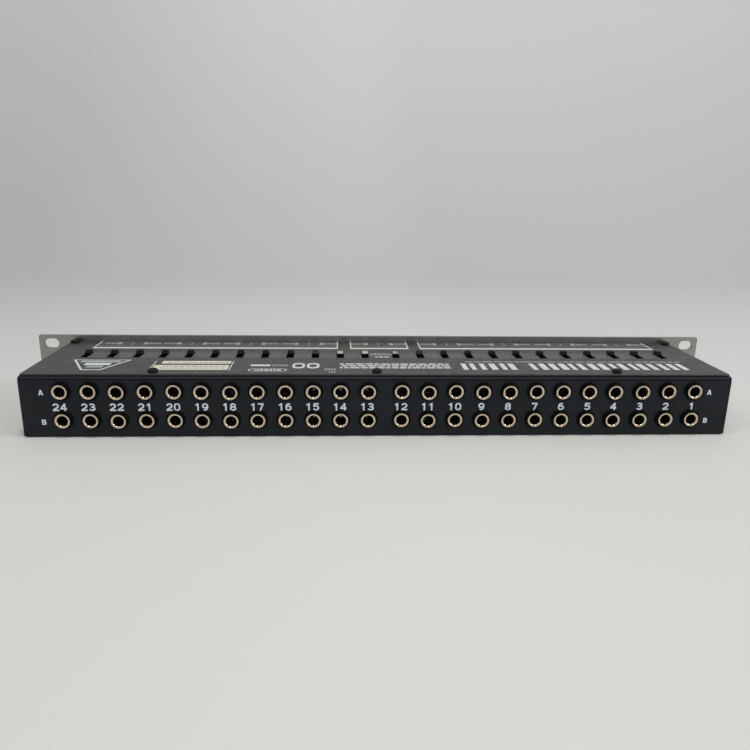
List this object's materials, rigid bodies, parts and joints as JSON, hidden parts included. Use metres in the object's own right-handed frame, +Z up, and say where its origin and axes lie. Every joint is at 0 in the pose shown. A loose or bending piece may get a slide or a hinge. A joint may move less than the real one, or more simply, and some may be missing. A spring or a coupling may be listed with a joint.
{
  "type": "audio patch bay",
  "caption": "Rack-mount audio patch bay: folded steel tray, flat cover with a row of slide switches, and two rows of phone jacks on the front and the rear.",
  "frame": {"origin": "on the floor, in the middle of the object's width and depth", "axes": "+X along the width from channel 1 to channel 24, +Y towards the rear jacks, +Z up; the front panel faces -Y"},
  "size_m": [0.4826, 0.0952, 0.044],
  "materials": {
    "front_panel_metal": "bare plate, satin, soft reflections",
    "chassis_paint": "fine-textured charcoal powder coat",
    "cover_paint": "fine-textured black powder coat, greyed by what it reflects",
    "jack_plastic": "moulded black plastic",
    "bush_metal": "bright nickel with a warm cast",
    "contact_metal": "tinned contact springs",
    "board_green": "solder-masked circuit board",
    "lever_plastic": "moulded black plastic, slightly glossy",
    "screw_black": "black oxide",
    "print_white": "screen-printed ink",
    "label_cream": "paper label"
  },
  "bodies": {
    "patch_bay": {"chassis": "chassis_paint", "front_panel": "front_panel_metal", "top_cover": "cover_paint", "channel_module_01": "jack_plastic", "channel_module_02": "jack_plastic", "channel_module_03": "jack_plastic", "channel_module_04": "jack_plastic", "channel_module_05": "jack_plastic", "channel_module_06": "jack_plastic", "channel_module_07": "jack_plastic", "channel_module_08": "jack_plastic", "channel_module_09": "jack_plastic", "channel_module_10": "jack_plastic", "channel_module_11": "jack_plastic", "channel_module_12": "jack_plastic", "channel_module_13": "jack_plastic", "channel_module_14": "jack_plastic", "channel_module_15": "jack_plastic", "channel_module_16": "jack_plastic", "channel_module_17": "jack_plastic", "channel_module_18": "jack_plastic", "channel_module_19": "jack_plastic", "channel_module_20": "jack_plastic", "channel_module_21": "jack_plastic", "channel_module_22": "jack_plastic", "channel_module_23": "jack_plastic", "channel_module_24": "jack_plastic", "cover_screw_front_left": "screw_black", "cover_screw_front_right": "screw_black", "cover_screw_rear_left": "screw_black", "cover_screw_rear_middle": "screw_black", "cover_screw_rear_right": "screw_black", "panel_screw_left_upper": "screw_black", "panel_screw_left_lower": "screw_black", "panel_screw_right_upper": "screw_black", "panel_screw_right_lower": "screw_black"},
    "lever_01": {"switch_lever_01": "lever_plastic"},
    "lever_02": {"switch_lever_02": "lever_plastic"},
    "lever_03": {"switch_lever_03": "lever_plastic"},
    "lever_04": {"switch_lever_04": "lever_plastic"},
    "lever_05": {"switch_lever_05": "lever_plastic"},
    "lever_06": {"switch_lever_06": "lever_plastic"},
    "lever_07": {"switch_lever_07": "lever_plastic"},
    "lever_08": {"switch_lever_08": "lever_plastic"},
    "lever_09": {"switch_lever_09": "lever_plastic"},
    "lever_10": {"switch_lever_10": "lever_plastic"},
    "lever_11": {"switch_lever_11": "lever_plastic"},
    "lever_12": {"switch_lever_12": "lever_plastic"},
    "lever_13": {"switch_lever_13": "lever_plastic"},
    "lever_14": {"switch_lever_14": "lever_plastic"},
    "lever_15": {"switch_lever_15": "lever_plastic"},
    "lever_16": {"switch_lever_16": "lever_plastic"},
    "lever_17": {"switch_lever_17": "lever_plastic"},
    "lever_18": {"switch_lever_18": "lever_plastic"},
    "lever_19": {"switch_lever_19": "lever_plastic"},
    "lever_20": {"switch_lever_20": "lever_plastic"},
    "lever_21": {"switch_lever_21": "lever_plastic"},
    "lever_22": {"switch_lever_22": "lever_plastic"},
    "lever_23": {"switch_lever_23": "lever_plastic"},
    "lever_24": {"switch_lever_24": "lever_plastic"}
  },
  "joints": [
    {"name": "switch_slide_01", "type": "slide", "parent": "patch_bay", "child": "lever_01", "axis": [0, 1, 0], "range_m": [0, 0.008]},
    {"name": "switch_slide_02", "type": "slide", "parent": "patch_bay", "child": "lever_02", "axis": [0, 1, 0], "range_m": [0, 0.008]},
    {"name": "switch_slide_03", "type": "slide", "parent": "patch_bay", "child": "lever_03", "axis": [0, 1, 0], "range_m": [0, 0.008]},
    {"name": "switch_slide_04", "type": "slide", "parent": "patch_bay", "child": "lever_04", "axis": [0, 1, 0], "range_m": [0, 0.008]},
    {"name": "switch_slide_05", "type": "slide", "parent": "patch_bay", "child": "lever_05", "axis": [0, 1, 0], "range_m": [0, 0.008]},
    {"name": "switch_slide_06", "type": "slide", "parent": "patch_bay", "child": "lever_06", "axis": [0, 1, 0], "range_m": [0, 0.008]},
    {"name": "switch_slide_07", "type": "slide", "parent": "patch_bay", "child": "lever_07", "axis": [0, 1, 0], "range_m": [0, 0.008]},
    {"name": "switch_slide_08", "type": "slide", "parent": "patch_bay", "child": "lever_08", "axis": [0, 1, 0], "range_m": [0, 0.008]},
    {"name": "switch_slide_09", "type": "slide", "parent": "patch_bay", "child": "lever_09", "axis": [0, 1, 0], "range_m": [0, 0.008]},
    {"name": "switch_slide_10", "type": "slide", "parent": "patch_bay", "child": "lever_10", "axis": [0, 1, 0], "range_m": [0, 0.008]},
    {"name": "switch_slide_11", "type": "slide", "parent": "patch_bay", "child": "lever_11", "axis": [0, 1, 0], "range_m": [0, 0.008]},
    {"name": "switch_slide_12", "type": "slide", "parent": "patch_bay", "child": "lever_12", "axis": [0, 1, 0], "range_m": [0, 0.008]},
    {"name": "switch_slide_13", "type": "slide", "parent": "patch_bay", "child": "lever_13", "axis": [0, 1, 0], "range_m": [0, 0.008]},
    {"name": "switch_slide_14", "type": "slide", "parent": "patch_bay", "child": "lever_14", "axis": [0, 1, 0], "range_m": [0, 0.008]},
    {"name": "switch_slide_15", "type": "slide", "parent": "patch_bay", "child": "lever_15", "axis": [0, 1, 0], "range_m": [0, 0.008]},
    {"name": "switch_slide_16", "type": "slide", "parent": "patch_bay", "child": "lever_16", "axis": [0, 1, 0], "range_m": [0, 0.008]},
    {"name": "switch_slide_17", "type": "slide", "parent": "patch_bay", "child": "lever_17", "axis": [0, 1, 0], "range_m": [0, 0.008]},
    {"name": "switch_slide_18", "type": "slide", "parent": "patch_bay", "child": "lever_18", "axis": [0, 1, 0], "range_m": [0, 0.008]},
    {"name": "switch_slide_19", "type": "slide", "parent": "patch_bay", "child": "lever_19", "axis": [0, 1, 0], "range_m": [0, 0.008]},
    {"name": "switch_slide_20", "type": "slide", "parent": "patch_bay", "child": "lever_20", "axis": [0, 1, 0], "range_m": [0, 0.008]},
    {"name": "switch_slide_21", "type": "slide", "parent": "patch_bay", "child": "lever_21", "axis": [0, 1, 0], "range_m": [0, 0.008]},
    {"name": "switch_slide_22", "type": "slide", "parent": "patch_bay", "child": "lever_22", "axis": [0, 1, 0], "range_m": [0, 0.008]},
    {"name": "switch_slide_23", "type": "slide", "parent": "patch_bay", "child": "lever_23", "axis": [0, 1, 0], "range_m": [0, 0.008]},
    {"name": "switch_slide_24", "type": "slide", "parent": "patch_bay", "child": "lever_24", "axis": [0, 1, 0], "range_m": [0, 0.008]}
  ]
}
